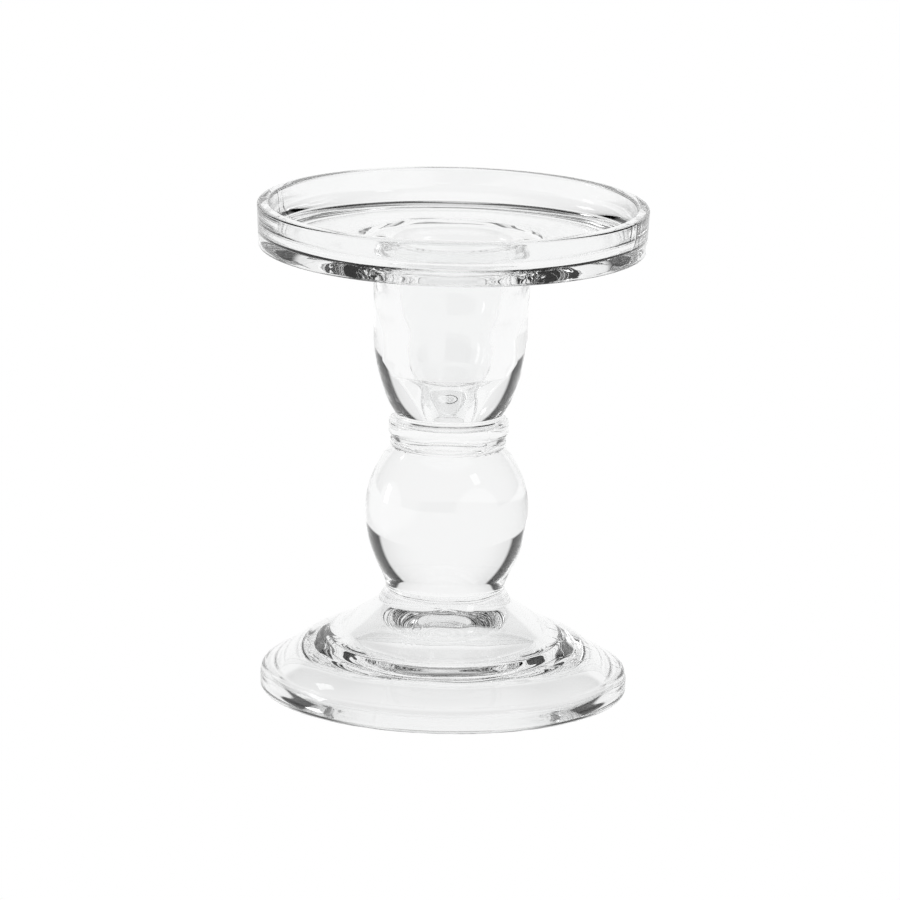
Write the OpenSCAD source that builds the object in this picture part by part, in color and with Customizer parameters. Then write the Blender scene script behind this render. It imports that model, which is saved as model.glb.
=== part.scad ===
// Glass candlestick for a pillar candle on its pan or a dinner candle in its tapered socket.
// Six hot-joined pieces of clear glass stand on one axis. Millimetres, +Z up, origin at the
// centre of the ring that the foot stands on. Neighbouring pieces meet face to face at flat
// round joint faces, where the hot glass was stuck together.

/* [Foot] */
// Diameter of the foot across its brim
foot_d = 94.2; // [93:0.2:97]
// Height of the foot up to the collar joint
foot_h = 23.4; // [22.8:0.1:25]
// Height of the brim's upright wall
brim_h = 3.6; // [3:0.1:4.6]
// Height of the hollow under the foot, at its middle
hollow_h = 19; // [16:0.2:19.4]
// Diameter of the hollow at the table
hollow_d = 90.2; // [88:0.2:91]
// Height of the hollow's outer shelf
shelf_h = 9.6; // [8.6:0.1:9.8]
// Diameter at which the hollow's middle cap meets its shelf
shelf_d = 51; // [48:0.2:54]

/* [Stem] */
// Height of the lower collar ring
lower_ring_h = 3.9; // [3:0.1:5]
// Diameter of the lower collar ring where it meets the foot
lower_ring_d = 34.4; // [33.6:0.1:35]
// Diameter of the ball at its middle
ball_d = 41.8; // [38:0.2:46]
// Height of the ball piece between its joints
ball_h = 36.6; // [33:0.2:40]
// Diameter of the joint under the ball
lower_neck_d = 30.4; // [29.6:0.1:31.4]
// Diameter of the joint over the ball
upper_neck_d = 29.2; // [28:0.1:30]
// Height of the upper ring
upper_ring_h = 7.3; // [6.4:0.1:9]
// Diameter of the upper ring's band
upper_ring_d = 30.8; // [30.4:0.1:33]

/* [Candle cup] */
// Height of the cup between its joints
cup_h = 44.4; // [43:0.2:50]
// Diameter of the joint under the cup
cup_joint_d = 29.2; // [28.8:0.1:30]
// Diameter of the cup at its waist, just over the joint
cup_waist_d = 28; // [27:0.1:28.6]
// Diameter of the cup halfway up
cup_mid_d = 39.4; // [37:0.2:40.4]
// Diameter of the cup where it starts to flare into the pan
cup_top_d = 40.8; // [40.6:0.2:42]
// Radius of the flare under the pan
flare_r = 3.2; // [2:0.1:4]

/* [Taper socket] */
// Diameter of the straight band that grips a dinner candle
socket_d = 22.4; // [21.6:0.1:23]
// Length of the straight band
socket_band = 5; // [4:0.5:6]
// Height of the straight band's lower edge above the cup's joint
socket_band_z = 15.6; // [15:0.1:17]
// Diameter of the socket at its shoulder, above the point
socket_floor_d = 19.8; // [18.6:0.1:20.4]
// Height of the socket's shoulder above the cup's joint
socket_floor_z = 12.3; // [11.5:0.1:13]
// Depth of the blunt point under the shoulder
point_depth = 9.5; // [5:0.5:9.5]
// How the point's wall curves, where 1 is a plain cone
point_curve = 1.25; // [1:0.05:2]
// Diameter of the blunt point's flat tip
point_d = 8; // [3:0.5:10]
// Diameter of the socket at the top of its taper
socket_top_d = 25.8; // [25:0.1:27]
// Diameter of the socket where it passes from the pan into the cup
throat_d = 33.6; // [32:0.2:36]

/* [Drip pan] */
// Diameter of the pan across its rim
pan_d = 100; // [96:0.2:104]
// Height of the pan from its underside to its rim
pan_h = 11.4; // [10:0.1:14]
// Thickness of the pan's floor
pan_floor = 2.4; // [2.2:0.1:3.4]
// Diameter at which the floor starts to fall into the socket
mouth_d = 58; // [52:0.5:64]
// Thickness of the upstand wall
pan_wall = 3.2; // [2.8:0.1:4]
// How much narrower the pan is at its underside
pan_draft = 1; // [0.4:0.1:2]

/* [Hidden] */

// Sides of a full turn, and points on an arc and on a blend
facets = 128;
arc_steps = 8;
blend_steps = 14;

// Joint planes, from the table up
lower_ring_z = foot_h;
ball_z = lower_ring_z + lower_ring_h;
upper_ring_z = ball_z + ball_h;
cup_z = upper_ring_z + upper_ring_h;
pan_z = cup_z + cup_h;

glass_tint = [0.86, 0.93, 0.94, 0.45];

// Points of an elliptical arc about [cx, cz] from one angle to another
function arc(cx, cz, rx, rz, from, to, n = arc_steps) =
    [for (i = [0:n]) let (a = from + (to - from) * i / n) [cx + rx * cos(a), cz + rz * sin(a)]];

// Points of a smooth stretch that leaves p along u and reaches q along v
function blend(p, u, q, v, n = blend_steps) =
    [for (i = [0:n]) let (t = i / n)
        p * (1 - 3 * t * t + 2 * t * t * t) + u * (t - 2 * t * t + t * t * t)
        + q * (3 * t * t - 2 * t * t * t) + v * (t * t * t - t * t)];

// A list without its first point, for the end that an earlier stretch already has
function rest(points) = [for (i = [1:len(points) - 1]) points[i]];

// One piece of glass, turned from its outline of [radius, height] points
module turned(z, outline) {
    color(glass_tint)
        translate([0, 0, z])
            rotate_extrude($fn = facets)
                polygon(outline);
}

// Foot: a low brim, a dome with a soft step, and a hollow that follows it inside the standing ring
foot_r = foot_d / 2;
hollow_r = hollow_d / 2;
stand_r = foot_r - 0.7;
heel = [1, 1.2];
brim_edge = [1.9, 2.8];
collar_r = lower_ring_d / 2;

module domed_foot() {
    cap_low = [shelf_d / 2 - 2.2, shelf_h + 1.55];
    shelf = [shelf_d / 2 + 2.6, shelf_h];
    roof = concat(
        blend([0, hollow_h], [cap_low[0], 0], cap_low, [cap_low[0], 2 * (cap_low[1] - hollow_h)]),
        rest(blend(cap_low, [2.4, -1.6], shelf, [3.3, 0])),
        rest(blend(shelf, [22, 0], [hollow_r, 0], [14.5, -18])));
    brim = concat(
        [[stand_r, 0]],
        arc(foot_r - heel[0], heel[1], heel[0], heel[1], -60, 0),
        arc(foot_r - brim_edge[0], brim_h, brim_edge[0], brim_edge[1], 0, 80));
    ledge = [foot_r - 2.1, brim_h + 2.9];
    low_step = [34.5, 13.5];
    high_step = [27.5, 16.6];
    dome = concat(
        blend(ledge, [-5, 3.5], low_step, [-5, 3.1]),
        rest(blend(low_step, [-4, 2.5], high_step, [-4, 1.9])),
        rest(blend(high_step, [-6, 3.1], [collar_r, foot_h], [-4, 3.4])));
    turned(0, concat(roof, brim, dome, [[0, foot_h]]));
}

// Lower collar: flares from the ball's neck down to the foot
module lower_merese() {
    flare = blend([collar_r, 0], [-1.6, 1.4], [lower_neck_d / 2, lower_ring_h], [-0.3, 2.6]);
    turned(lower_ring_z, concat([[0, 0]], flare, [[0, lower_ring_h]]));
}

// Ball: a neck that swells into two half ellipses, of which the lower is the longer one
module ball_knop() {
    r = ball_d / 2;
    middle = ball_h * 0.556;
    neck = [16.8, 4.2];
    low_angle = acos(neck[0] / r);
    low_half = (middle - neck[1]) / sin(low_angle);
    onto_ball = 0.13 * [r * sin(low_angle), low_half * cos(low_angle)];
    top_r = upper_neck_d / 2 + 0.6;
    top_angle = acos(top_r / r);
    top_lip = 0.8;
    top_half = (ball_h - middle - top_lip) / sin(top_angle);
    turned(ball_z, concat(
        [[0, 0]],
        blend([lower_neck_d / 2, 0], [-0.2, 1.4], neck, onto_ball),
        rest(arc(0, middle, r, low_half, -low_angle, 0, blend_steps)),
        rest(arc(0, middle, r, top_half, 0, top_angle, blend_steps)),
        [[upper_neck_d / 2, ball_h], [0, ball_h]]));
}

// Upper ring: a round bead and, over it, an upright band with rounded edges
module upper_merese() {
    neck_r = upper_neck_d / 2;
    r = upper_ring_d / 2;
    bead = [1, 1.3];
    bead_out = 0.35;
    edge = 0.6;
    band_z = upper_ring_h - 3.9;
    high = upper_ring_h - 0.1 - edge;
    turned(upper_ring_z, concat(
        [[0, 0], [neck_r, 0]],
        arc(neck_r + bead_out - bead[0], bead[1], bead[0], bead[1], -50, 60),
        arc(r - edge, band_z + edge, edge, edge, -80, 0),
        arc(r - edge, high, edge, edge, 0, 80),
        [[cup_joint_d / 2, upper_ring_h], [0, upper_ring_h]]));
}

// Radius of the socket where it passes the joint between cup and pan
throat_r = throat_d / 2;

// Socket wall from the joint with the pan down to the blunt point on the axis
function socket_wall() = let (
    taper_top = [socket_top_d / 2, cup_h - 16],
    band_top = [socket_d / 2, socket_band_z + socket_band],
    edge = 1,
    ledge = arc(socket_floor_d / 2 - edge, socket_floor_z + edge, edge, edge, 0, -80),
    start = ledge[len(ledge) - 1],
    tip = [point_d / 2, socket_floor_z - point_depth]
) concat(
    blend([throat_r, cup_h], [-5, -7], taper_top, [-1.8, -10]),
    rest(blend(taper_top, [-1.4, -8], band_top, [0, -6])),
    [[socket_d / 2, socket_band_z]],
    ledge,
    [for (i = [1:blend_steps]) let (t = i / blend_steps)
        [start[0] + (tip[0] - start[0]) * t, start[1] + (tip[1] - start[1]) * pow(t, point_curve)]],
    [[0, tip[1]]]);

// Cup: solid at its base, flared at the top to meet the pan, with the socket let into it
module candle_cup() {
    waist = [cup_waist_d / 2, 1.8];
    middle = [cup_mid_d / 2, cup_h / 2];
    top = [cup_top_d / 2, cup_h - flare_r];
    turned(cup_z, concat(
        [[0, 0]],
        blend([cup_joint_d / 2, 0], [-0.9, 0.8], waist, [0.7, 1.3]),
        rest(blend(waist, [9.5, 12.5], middle, [-0.2, 19.5])),
        rest(blend(middle, [-0.2, 9], top, [1.2, 9])),
        rest(arc(cup_top_d / 2 + flare_r, cup_h - flare_r, flare_r, flare_r, 180, 90)),
        socket_wall()));
}

// Pan: a floor that falls into the socket, a rounded inside corner and an upstand with a soft flat rim
module drip_pan() {
    rim_r = pan_d / 2;
    base_r = rim_r - pan_draft / 2;
    heel_edge = 0.8;
    rim_edge = 0.8;
    rim_z = pan_h - rim_edge;
    corner = [8, 5];
    wall_r = base_r - pan_wall;
    mouth = [mouth_d / 2, pan_floor];
    turned(pan_z, concat(
        [[throat_r, 0]],
        arc(base_r - heel_edge, heel_edge, heel_edge, heel_edge, -90, 0),
        arc(rim_r - rim_edge, rim_z, rim_edge, rim_edge, 0, 90),
        arc(rim_r - pan_wall + rim_edge, rim_z, rim_edge, rim_edge, 90, 180),
        arc(wall_r - corner[0], pan_floor + corner[1], corner[0], corner[1], 0, -90),
        blend(mouth, [-9, 0], [throat_r, 0], [-5, -7])));
}

domed_foot();
lower_merese();
ball_knop();
upper_merese();
candle_cup();
drip_pan();
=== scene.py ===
"""Glass candlestick: the looks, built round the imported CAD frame.

Each of the six glass pieces is turned again as a smooth mesh in place of its faceted CAD
node, with the faint waves and mould seams of pressed glass. Joint planes, heights and outer
radii are read from the CAD boxes. What no box shows, such as the hollow and the socket, is
stated here with the same sizes as in the CAD.
"""
import math

import bpy
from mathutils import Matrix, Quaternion, Vector


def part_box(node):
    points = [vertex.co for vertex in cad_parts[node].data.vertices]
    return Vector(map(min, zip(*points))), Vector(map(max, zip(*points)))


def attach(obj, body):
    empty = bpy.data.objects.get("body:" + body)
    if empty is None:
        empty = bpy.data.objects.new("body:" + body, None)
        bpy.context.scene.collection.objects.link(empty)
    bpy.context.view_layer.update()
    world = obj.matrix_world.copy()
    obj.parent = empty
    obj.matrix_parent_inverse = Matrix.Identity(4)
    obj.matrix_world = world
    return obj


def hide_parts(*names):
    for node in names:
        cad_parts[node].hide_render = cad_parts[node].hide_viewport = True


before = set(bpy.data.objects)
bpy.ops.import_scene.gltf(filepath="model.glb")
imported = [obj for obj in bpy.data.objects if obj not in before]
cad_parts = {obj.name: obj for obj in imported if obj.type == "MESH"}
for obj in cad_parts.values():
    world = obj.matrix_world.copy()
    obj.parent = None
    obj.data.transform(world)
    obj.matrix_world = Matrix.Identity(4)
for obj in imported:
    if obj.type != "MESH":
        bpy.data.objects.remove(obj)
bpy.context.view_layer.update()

MM = 0.001
FULL_TURN = 2 * math.pi


# --- outlines, as [radius, height] points in millimetres --------------------------------------

def arc(cx, cz, rx, rz, start, end, steps=10):
    """Points of an elliptical arc about (cx, cz), from one angle to another in degrees."""
    turn = [math.radians(start + (end - start) * i / steps) for i in range(steps + 1)]
    return [(cx + rx * math.cos(a), cz + rz * math.sin(a)) for a in turn]


def blend(p, u, q, v, steps=32):
    """Points of a smooth stretch that leaves p along u and reaches q along v."""
    points = []
    for i in range(steps + 1):
        t = i / steps
        weights = (1 - 3 * t**2 + 2 * t**3, t - 2 * t**2 + t**3, 3 * t**2 - 2 * t**3, t**3 - t**2)
        points.append(tuple(sum(w * c[k] for w, c in zip(weights, (p, u, q, v))) for k in (0, 1)))
    return points


def node_size(node):
    """Lowest level, height and widest radius of a CAD node, in millimetres."""
    low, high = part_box(node)
    return low[2] / MM, (high[2] - low[2]) / MM, high[0] / MM


FOOT_Z, FOOT_H, FOOT_R = node_size("domed_foot")
LOWER_Z, LOWER_H, COLLAR_R = node_size("lower_merese")
BALL_Z, BALL_H, BALL_R = node_size("ball_knop")
UPPER_Z, UPPER_H, BAND_R = node_size("upper_merese")
CUP_Z, CUP_H, CUP_R = node_size("candle_cup")
PAN_Z, PAN_H, RIM_R = node_size("drip_pan")

# Joints under the ball, over the ball, under the cup, and round the socket between cup and pan
LOWER_NECK_R = 15.2
UPPER_NECK_R = 14.6
CUP_JOINT_R = 14.6
THROAT_R = 16.8

# Hollow under the foot, at the table and at its middle
HOLLOW_R = 45.1
HOLLOW_H = 19.0


def foot_outline():
    """The hollow from its middle outwards, the standing ring, the brim and the stepped dome."""
    cap_low, shelf = (23.3, 11.15), (28.1, 9.6)
    cap_fall = (cap_low[0], 2 * (cap_low[1] - HOLLOW_H))
    roof = blend((0.0, HOLLOW_H), (cap_low[0], 0), cap_low, cap_fall, 24)
    roof += blend(cap_low, (2.4, -1.6), shelf, (3.3, 0), 16)[1:]
    roof += blend(shelf, (22, 0), (HOLLOW_R, 0.0), (14.5, -18), 32)[1:]
    stand_r, brim_h = FOOT_R - 0.7, 3.6
    heel, brim_edge = (1.0, 1.2), (1.9, 2.8)
    brim = [(stand_r, 0.0)] + arc(FOOT_R - heel[0], heel[1], *heel, -60, 0)
    brim += arc(FOOT_R - brim_edge[0], brim_h, *brim_edge, 0, 80)
    ledge, low_step, high_step = (FOOT_R - 2.1, brim_h + 2.9), (34.5, 13.5), (27.5, 16.6)
    dome = blend(ledge, (-5, 3.5), low_step, (-5, 3.1), 24)
    dome += blend(low_step, (-4, 2.5), high_step, (-4, 1.9), 16)[1:]
    dome += blend(high_step, (-6, 3.1), (COLLAR_R, FOOT_H), (-4, 3.4), 28)[1:]
    return roof + brim + dome + [(0.0, FOOT_H)]


def lower_merese_outline():
    """The collar, flared from the ball's neck down to the foot."""
    flare = blend((COLLAR_R, 0.0), (-1.6, 1.4), (LOWER_NECK_R, LOWER_H), (-0.3, 2.6), 16)
    return [(0.0, 0.0)] + flare + [(0.0, LOWER_H)]


def ball_outline():
    """A neck that swells into two half ellipses, of which the lower is the longer one."""
    middle = BALL_H * 0.556
    neck = (16.8, 4.2)
    low_angle = math.acos(neck[0] / BALL_R)
    low_half = (middle - neck[1]) / math.sin(low_angle)
    top_lip = (0.6, 0.8)
    top_angle = math.acos((UPPER_NECK_R + top_lip[0]) / BALL_R)
    top_half = (BALL_H - middle - top_lip[1]) / math.sin(top_angle)
    onto_ball = (0.13 * BALL_R * math.sin(low_angle), 0.13 * low_half * math.cos(low_angle))
    fillet = blend((LOWER_NECK_R, 0.0), (-0.2, 1.4), neck, onto_ball, 14)
    low = arc(0, middle, BALL_R, low_half, -math.degrees(low_angle), 0, 40)
    top = arc(0, middle, BALL_R, top_half, 0, math.degrees(top_angle), 40)
    return [(0.0, 0.0)] + fillet + low[1:] + top[1:] + [(UPPER_NECK_R, BALL_H), (0.0, BALL_H)]


def upper_merese_outline():
    """A round bead and, over it, an upright band with rounded edges."""
    bead, bead_out = (1.0, 1.3), 0.35
    edge = 0.6
    band_z, band_top = 3.4, UPPER_H - 0.1
    bead_arc = arc(UPPER_NECK_R + bead_out - bead[0], bead[1], *bead, -50, 60)
    low = arc(BAND_R - edge, band_z + edge, edge, edge, -80, 0)
    high = arc(BAND_R - edge, band_top - edge, edge, edge, 0, 80)
    inner = [(CUP_JOINT_R, UPPER_H), (0.0, UPPER_H)]
    return [(0.0, 0.0), (UPPER_NECK_R, 0.0)] + bead_arc + low + high + inner


def socket_wall():
    """The socket from the pan's joint down to its blunt point on the axis."""
    taper_top, band_top, band_low = (12.9, CUP_H - 16), (11.2, 20.6), (11.2, 15.6)
    wall = blend((THROAT_R, CUP_H), (-5, -7), taper_top, (-1.8, -10))
    wall += blend(taper_top, (-1.4, -8), band_top, (0, -6))[1:]
    ledge = arc(8.9, 13.3, 1.0, 1.0, 0, -80)
    shoulder_r, shoulder_z = ledge[-1]
    point_r, point_z, point_curve, point_steps = 4.0, 2.8, 1.25, 30
    point = []
    for step in range(1, point_steps + 1):
        t = step / point_steps
        drop = (shoulder_z - point_z) * t**point_curve
        point.append((shoulder_r + (point_r - shoulder_r) * t, shoulder_z - drop))
    return wall + [band_low] + ledge + point + [(0.0, point_z)]


def cup_outline():
    """Solid at its base, flared at the top to meet the pan, with the socket let into it."""
    flare_r = 3.2
    waist, middle, top = (14.0, 1.8), (19.7, CUP_H / 2), (CUP_R - flare_r, CUP_H - flare_r)
    outer = blend((CUP_JOINT_R, 0.0), (-0.9, 0.8), waist, (0.7, 1.3), 12)
    outer += blend(waist, (9.5, 12.5), middle, (-0.2, 19.5), 40)[1:]
    outer += blend(middle, (-0.2, 9), top, (1.2, 9))[1:]
    outer += arc(CUP_R, CUP_H - flare_r, flare_r, flare_r, 180, 90)[1:]
    return [(0.0, 0.0)] + outer + socket_wall()


def pan_outline():
    """A floor that falls into the socket, a rounded inside corner and an upstand with a soft rim."""
    base_r = RIM_R - 0.5
    edge = 0.8
    wall, floor_z = 3.2, 2.4
    corner = (8, 5)
    heel = arc(base_r - edge, edge, edge, edge, -90, 0)
    rim = arc(RIM_R - edge, PAN_H - edge, edge, edge, 0, 90)
    rim += arc(RIM_R - wall + edge, PAN_H - edge, edge, edge, 90, 180)
    inside = arc(base_r - wall - corner[0], floor_z + corner[1], *corner, 0, -90, 16)
    mouth = blend((29.0, floor_z), (-9, 0), (THROAT_R, 0.0), (-5, -7))
    return [(THROAT_R, 0.0), (CUP_R, 0.0)] + heel + rim + inside + mouth[:-1]


# --- turning ----------------------------------------------------------------------------------

GLASS, JOINT = 0, 1
SIDES = 240
SAME_POINT = 1e-4
SEAM_WIDTH = 0.45
SHARP_ANGLE = 32


def wave(angle, height):
    """Faint unevenness of hot-worked glass, between -1 and 1, the same for all pieces."""
    return (math.sin(2 * angle + 0.7 + height * 0.05) + math.sin(5 * angle + 2.1 - height * 0.09)
            + 0.6 * math.sin(9 * angle + 4.0 + height * 0.21)) / 2.6


def seam_angles(seams, radius):
    """Close-set angles on both sides of each mould seam, so that its ridge is round."""
    steps = (-1.4, -1.0, -0.7, -0.45, -0.22, 0, 0.22, 0.45, 0.7, 1.0, 1.4)
    return [s + step / radius for s in seams for step in steps]


def ring_faces(low, high, sides):
    """Faces between two rings of vertices, of which one may be a single vertex on the axis."""
    for i in range(sides):
        j = (i + 1) % sides
        if len(low) == 1:
            yield low[0], high[j], high[i]
        elif len(high) == 1:
            yield low[i], low[j], high[0]
        else:
            yield low[i], low[j], high[j], high[i]


def turned(name, z, outline, joints, ripple, seams=(), ridge=0.0):
    """A closed solid turned from its outline, all in millimetres.

    joints maps the height of each fused face to its outer radius. ripple is how far the
    surface strays from round, and ridge how far a mould seam stands out.
    """
    clean = [outline[0]]
    for point in outline[1:]:
        if math.dist(point, clean[-1]) > SAME_POINT:
            clean.append(point)
    widest = max(r for r, h in clean)
    top = max(h for r, h in clean)
    angles = sorted(set([FULL_TURN * i / SIDES for i in range(SIDES)]
                        + [a % FULL_TURN for a in seam_angles(seams, widest)]))
    sides = len(angles)
    verts, rings = [], []
    for r, h in clean:
        if r < SAME_POINT:
            rings.append([len(verts)])
            verts.append((0.0, 0.0, (z + h) * MM))
            continue
        rings.append(list(range(len(verts), len(verts) + sides)))
        inside = max(0.0, min(1.0, h / 2, (top - h) / 2))  # 0 at the two ends, which stay flat
        for a in angles:
            out = ripple * wave(a, z + h)
            for s in seams:
                off = (a - s + math.pi) % FULL_TURN - math.pi
                out += ridge * inside * math.exp(-((off * widest / SEAM_WIDTH) ** 2))
            up = ripple * inside * wave(a + 1.3, 3 * r)
            verts.append(((r + out) * math.cos(a) * MM, (r + out) * math.sin(a) * MM, (z + h + up) * MM))
    faces, slots = [], []
    count = len(clean)
    for k in range(count):
        (r0, h0), (r1, h1) = clean[k], clean[(k + 1) % count]
        low, high = rings[k], rings[(k + 1) % count]
        if len(low) == 1 and len(high) == 1:
            continue
        fused = h0 == h1 and max(r0, r1) <= joints.get(h0, -1.0) + SAME_POINT
        for face in ring_faces(low, high, sides):
            faces.append(face)
            slots.append(JOINT if fused else GLASS)
    mesh = bpy.data.meshes.new(name)
    mesh.from_pydata(verts, [], faces)
    mesh.polygons.foreach_set("use_smooth", [True] * len(faces))
    mesh.polygons.foreach_set("material_index", slots)
    mesh.set_sharp_from_angle(angle=math.radians(SHARP_ANGLE))
    mesh.update()
    piece = bpy.data.objects.new(name, mesh)
    bpy.context.scene.collection.objects.link(piece)
    return piece


# --- materials --------------------------------------------------------------------------------

def clear_glass():
    """Clear soda-lime glass, with the soft swirl that hot working leaves in its skin."""
    mat = bpy.data.materials.new("clear_glass")
    mat.use_nodes = True
    nodes, links = mat.node_tree.nodes, mat.node_tree.links
    shader = nodes["Principled BSDF"]
    shader.inputs["Base Color"].default_value = (0.95, 0.953, 0.953, 1)
    shader.inputs["Transmission Weight"].default_value = 1
    shader.inputs["IOR"].default_value = 1.5
    coords = nodes.new("ShaderNodeTexCoord")
    swirl = nodes.new("ShaderNodeTexNoise")
    swirl.inputs["Scale"].default_value = 55
    swirl.inputs["Detail"].default_value = 2
    swirl.inputs["Distortion"].default_value = 0.6
    links.new(coords.outputs["Object"], swirl.inputs["Vector"])
    polish = nodes.new("ShaderNodeMapRange")
    polish.inputs["From Min"].default_value = 0.45
    polish.inputs["From Max"].default_value = 0.75
    polish.inputs["To Min"].default_value = 0.0
    polish.inputs["To Max"].default_value = 0.015
    links.new(swirl.outputs["Fac"], polish.inputs["Value"])
    links.new(polish.outputs["Result"], shader.inputs["Roughness"])
    bump = nodes.new("ShaderNodeBump")
    bump.inputs["Strength"].default_value = 0.05
    bump.inputs["Distance"].default_value = 0.0004
    links.new(swirl.outputs["Fac"], bump.inputs["Height"])
    links.new(bump.outputs["Normal"], shader.inputs["Normal"])
    return mat


def fused_joint():
    """The face inside the glass where two pieces were stuck together hot. Nothing of it shows."""
    mat = bpy.data.materials.new("fused_joint")
    mat.use_nodes = True
    nodes, links = mat.node_tree.nodes, mat.node_tree.links
    nodes.remove(nodes["Principled BSDF"])
    clear = nodes.new("ShaderNodeBsdfTransparent")
    links.new(clear.outputs["BSDF"], nodes["Material Output"].inputs["Surface"])
    return mat


def glass_pieces():
    """The six pieces, each in place of its CAD node."""
    foot_seams = [math.radians(a) for a in (-112, 8, 128)]
    ring_seams = [math.radians(a) for a in (-48, 132)]
    pan_seams = [math.radians(a) for a in (-19, 161)]
    made = {
        "domed_foot": turned(
            "foot_glass", FOOT_Z, foot_outline(), {FOOT_H: COLLAR_R},
            ripple=0.06, seams=foot_seams, ridge=0.04),
        "lower_merese": turned(
            "lower_ring_glass", LOWER_Z, lower_merese_outline(), {0.0: COLLAR_R, LOWER_H: LOWER_NECK_R},
            ripple=0.08),
        "ball_knop": turned(
            "ball_glass", BALL_Z, ball_outline(), {0.0: LOWER_NECK_R, BALL_H: UPPER_NECK_R},
            ripple=0.05),
        "upper_merese": turned(
            "upper_ring_glass", UPPER_Z, upper_merese_outline(), {0.0: UPPER_NECK_R, UPPER_H: CUP_JOINT_R},
            ripple=0.08, seams=ring_seams, ridge=0.12),
        "candle_cup": turned(
            "cup_glass", CUP_Z, cup_outline(), {0.0: CUP_JOINT_R, CUP_H: CUP_R},
            ripple=0.05),
        "drip_pan": turned(
            "pan_glass", PAN_Z, pan_outline(), {0.0: CUP_R},
            ripple=0.07, seams=pan_seams, ridge=0.12),
    }
    glass, joint = clear_glass(), fused_joint()
    for node, piece in made.items():
        piece.data.materials.append(glass)
        piece.data.materials.append(joint)
        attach(piece, "root")
        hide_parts(node)


# --- studio -----------------------------------------------------------------------------------

def math_node(tree, operation, *inputs):
    """One Math node, whose inputs are numbers or sockets."""
    node = tree.nodes.new("ShaderNodeMath")
    node.operation = operation
    for slot, value in zip(node.inputs, inputs):
        if isinstance(value, (int, float)):
            slot.default_value = value
        else:
            tree.links.new(value, slot)
    return node.outputs["Value"]


def ramp(tree, value, low, high, start=0.0, end=1.0):
    """start under low and end over high, smooth between."""
    node = tree.nodes.new("ShaderNodeMapRange")
    node.interpolation_type = "SMOOTHSTEP"
    tree.links.new(value, node.inputs["Value"])
    for name, number in (("From Min", low), ("From Max", high), ("To Min", start), ("To Max", end)):
        node.inputs[name].default_value = number
    return node.outputs["Result"]


# The table top: half its side, how far it lies under the foot so that the two don't touch,
# and the painted shade under the foot, a dimming of the floor's glow that stands in for a contact shadow,
# as its inner and outer radius and its brightness at each
FLOOR_HALF = 40.0
FLOOR_GAP = 0.0002
CONTACT_SHADE = (0.02, 0.043, 0.88, 1.0)


def add_floor():
    """A wide pale table top that glows evenly to melt into the backdrop, with a painted shade under the
    foot.
    """
    mesh = bpy.data.meshes.new("floor")
    corners = [(x * FLOOR_HALF, y * FLOOR_HALF, 0) for x, y in ((-1, -1), (1, -1), (1, 1), (-1, 1))]
    mesh.from_pydata(corners, [], [(0, 1, 2, 3)])
    floor = bpy.data.objects.new("floor", mesh)
    floor.location.z = -FLOOR_GAP
    bpy.context.scene.collection.objects.link(floor)
    mat = bpy.data.materials.new("pale_floor")
    mat.use_nodes = True
    nodes, links = mat.node_tree.nodes, mat.node_tree.links
    nodes.remove(nodes["Principled BSDF"])
    glow = nodes.new("ShaderNodeEmission")
    glow.inputs["Color"].default_value = (1, 1, 1, 1)
    place = nodes.new("ShaderNodeTexCoord")
    reach = nodes.new("ShaderNodeVectorMath")
    reach.operation = "LENGTH"
    links.new(place.outputs["Object"], reach.inputs[0])
    # Painted shade: the floor's glow is dimmed within 43 mm of the axis, under the foot, in place of a
    # contact shadow
    links.new(ramp(mat.node_tree, reach.outputs["Value"], *CONTACT_SHADE), glow.inputs["Strength"])
    links.new(glow.outputs["Emission"], nodes["Material Output"].inputs["Surface"])
    mesh.materials.append(mat)


# Bearing from +Y towards +X and half width of each white panel, in degrees, and how soft its edge is
PANELS = ((0, 46), (-90, 22), (135, 33))
EDGE = 3.0

# Brightness of a panel at its middle and at its sides, of the gaps between panels and of the ceiling
PANEL_CENTRE = 1.0
PANEL_SIDE = 0.86
DARK = 0.01
OVERHEAD = 0.85

# How much narrower each panel gets with height
LEAN = 0.7

# Elevations between which the panels give way to the ceiling, and heights over which the table ends
CEILING_FROM, CEILING_TO = math.sin(math.radians(50)), math.sin(math.radians(70))
TABLE_FROM, TABLE_TO = 0.02, 0.05


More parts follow.
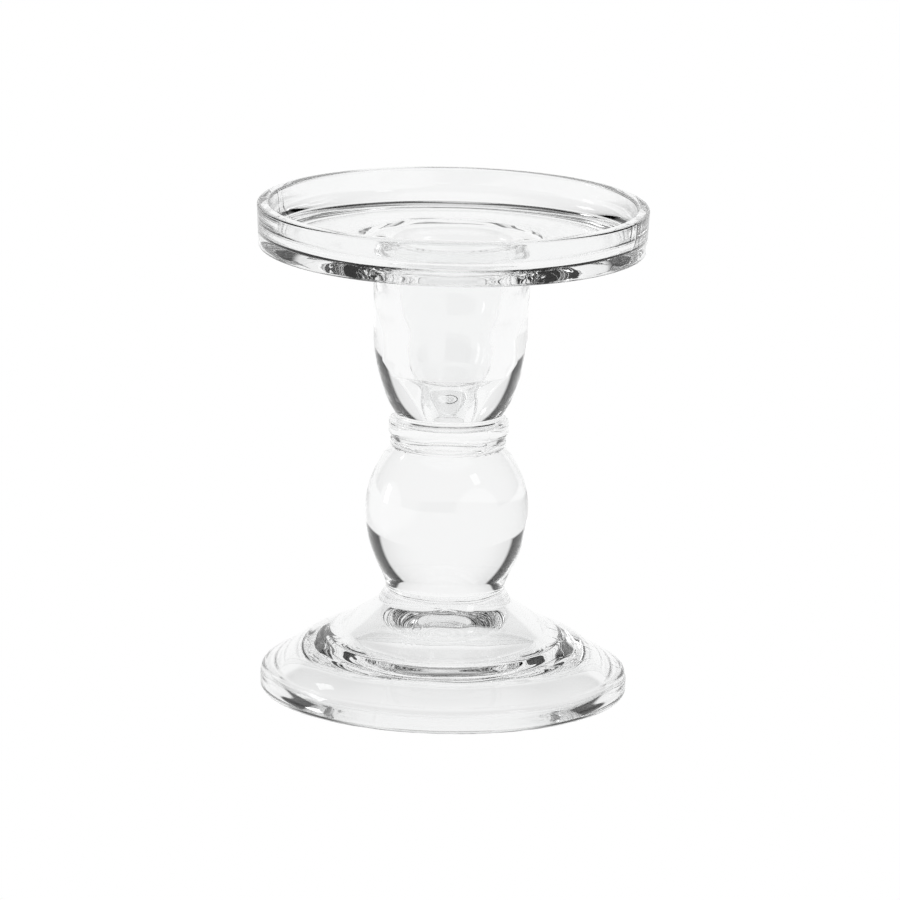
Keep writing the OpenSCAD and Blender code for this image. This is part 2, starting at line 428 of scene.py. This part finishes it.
def studio_world():
    """White panels round the table with dark gaps between them, and a dimmer ceiling."""
    world = bpy.data.worlds.new("studio")
    bpy.context.scene.world = world
    world.use_nodes = True
    tree = world.node_tree
    coords = tree.nodes.new("ShaderNodeTexCoord")
    split = tree.nodes.new("ShaderNodeSeparateXYZ")
    tree.links.new(coords.outputs["Generated"], split.inputs["Vector"])
    x, y, z = (split.outputs[k] for k in "XYZ")
    bearing = math_node(tree, "ARCTAN2", x, y)
    lean = math_node(tree, "MULTIPLY", math_node(tree, "MULTIPLY", z, z), LEAN)
    white = None
    for centre, half in PANELS:
        off = math_node(tree, "SUBTRACT", bearing, math.radians(centre))
        off = math_node(tree, "SUBTRACT", math_node(tree, "COSINE", off), lean)
        lit = ramp(tree, off, math.cos(math.radians(half + EDGE)), math.cos(math.radians(half - EDGE)))
        shade = ramp(tree, off, math.cos(math.radians(half)), 1.0, PANEL_SIDE, PANEL_CENTRE)
        lit = math_node(tree, "MULTIPLY", lit, shade)
        white = lit if white is None else math_node(tree, "MAXIMUM", white, lit)
    ceiling = ramp(tree, z, CEILING_FROM, CEILING_TO)
    walls = math_node(tree, "MULTIPLY", white, math_node(tree, "SUBTRACT", 1.0, ceiling))
    walls = math_node(tree, "MAXIMUM", walls, DARK)
    light = math_node(tree, "MAXIMUM", walls, math_node(tree, "MULTIPLY", ceiling, OVERHEAD))
    table = ramp(tree, z, TABLE_FROM, TABLE_TO, 1.0, 0.0)
    light = math_node(tree, "MAXIMUM", light, table)
    tree.links.new(light, tree.nodes["Background"].inputs["Color"])


def softbox(name, bearing, elevation, size, power, distance=2.2, aim_z=0.06):
    """A soft area light that looks at the candlestick, in degrees, metres and watts."""
    lamp = bpy.data.lights.new(name, "AREA")
    lamp.shape = "RECTANGLE"
    lamp.size, lamp.size_y = size
    lamp.energy = power
    light = bpy.data.objects.new(name, lamp)
    b, e = math.radians(bearing), math.radians(elevation)
    out = Vector((math.sin(b) * math.cos(e), math.cos(b) * math.cos(e), math.sin(e)))
    light.location = Vector((0, 0, aim_z)) + out * distance
    light.rotation_mode = "QUATERNION"
    light.rotation_quaternion = out.to_track_quat("Z", "Y")
    bpy.context.scene.collection.objects.link(light)


def add_camera():
    """The camera, 13 degrees above the table, far off with a long lens and rolled a little."""
    elevation, roll = math.radians(13.19), math.radians(1.3)
    distance = 1.9
    target = Vector((0.0005, 0, 0.06268))
    cam = bpy.data.cameras.new("camera")
    cam.sensor_width = 36
    cam.lens = 296.6
    cam.clip_start, cam.clip_end = 0.05, 100
    camera = bpy.data.objects.new("camera", cam)
    bpy.context.scene.collection.objects.link(camera)
    back = Vector((0, -math.cos(elevation), math.sin(elevation)))
    camera.location = target + back * distance
    camera.rotation_mode = "QUATERNION"
    camera.rotation_quaternion = back.to_track_quat("Z", "Y") @ Quaternion((0, 0, 1), roll)
    bpy.context.scene.camera = camera


glass_pieces()
add_floor()
studio_world()
softbox("left_light", bearing=-83, elevation=5, size=(0.35, 0.7), power=2)
softbox("upper_left_light", bearing=-64, elevation=39, size=(0.4, 0.4), power=1.5)
softbox("back_right_light", bearing=127, elevation=38, size=(0.4, 0.5), power=1.2)
add_camera()

scene = bpy.context.scene
scene.view_settings.view_transform = "Standard"
scene.cycles.max_bounces = 24
scene.cycles.transmission_bounces = 24
scene.cycles.glossy_bounces = 12
scene.cycles.transparent_max_bounces = 48
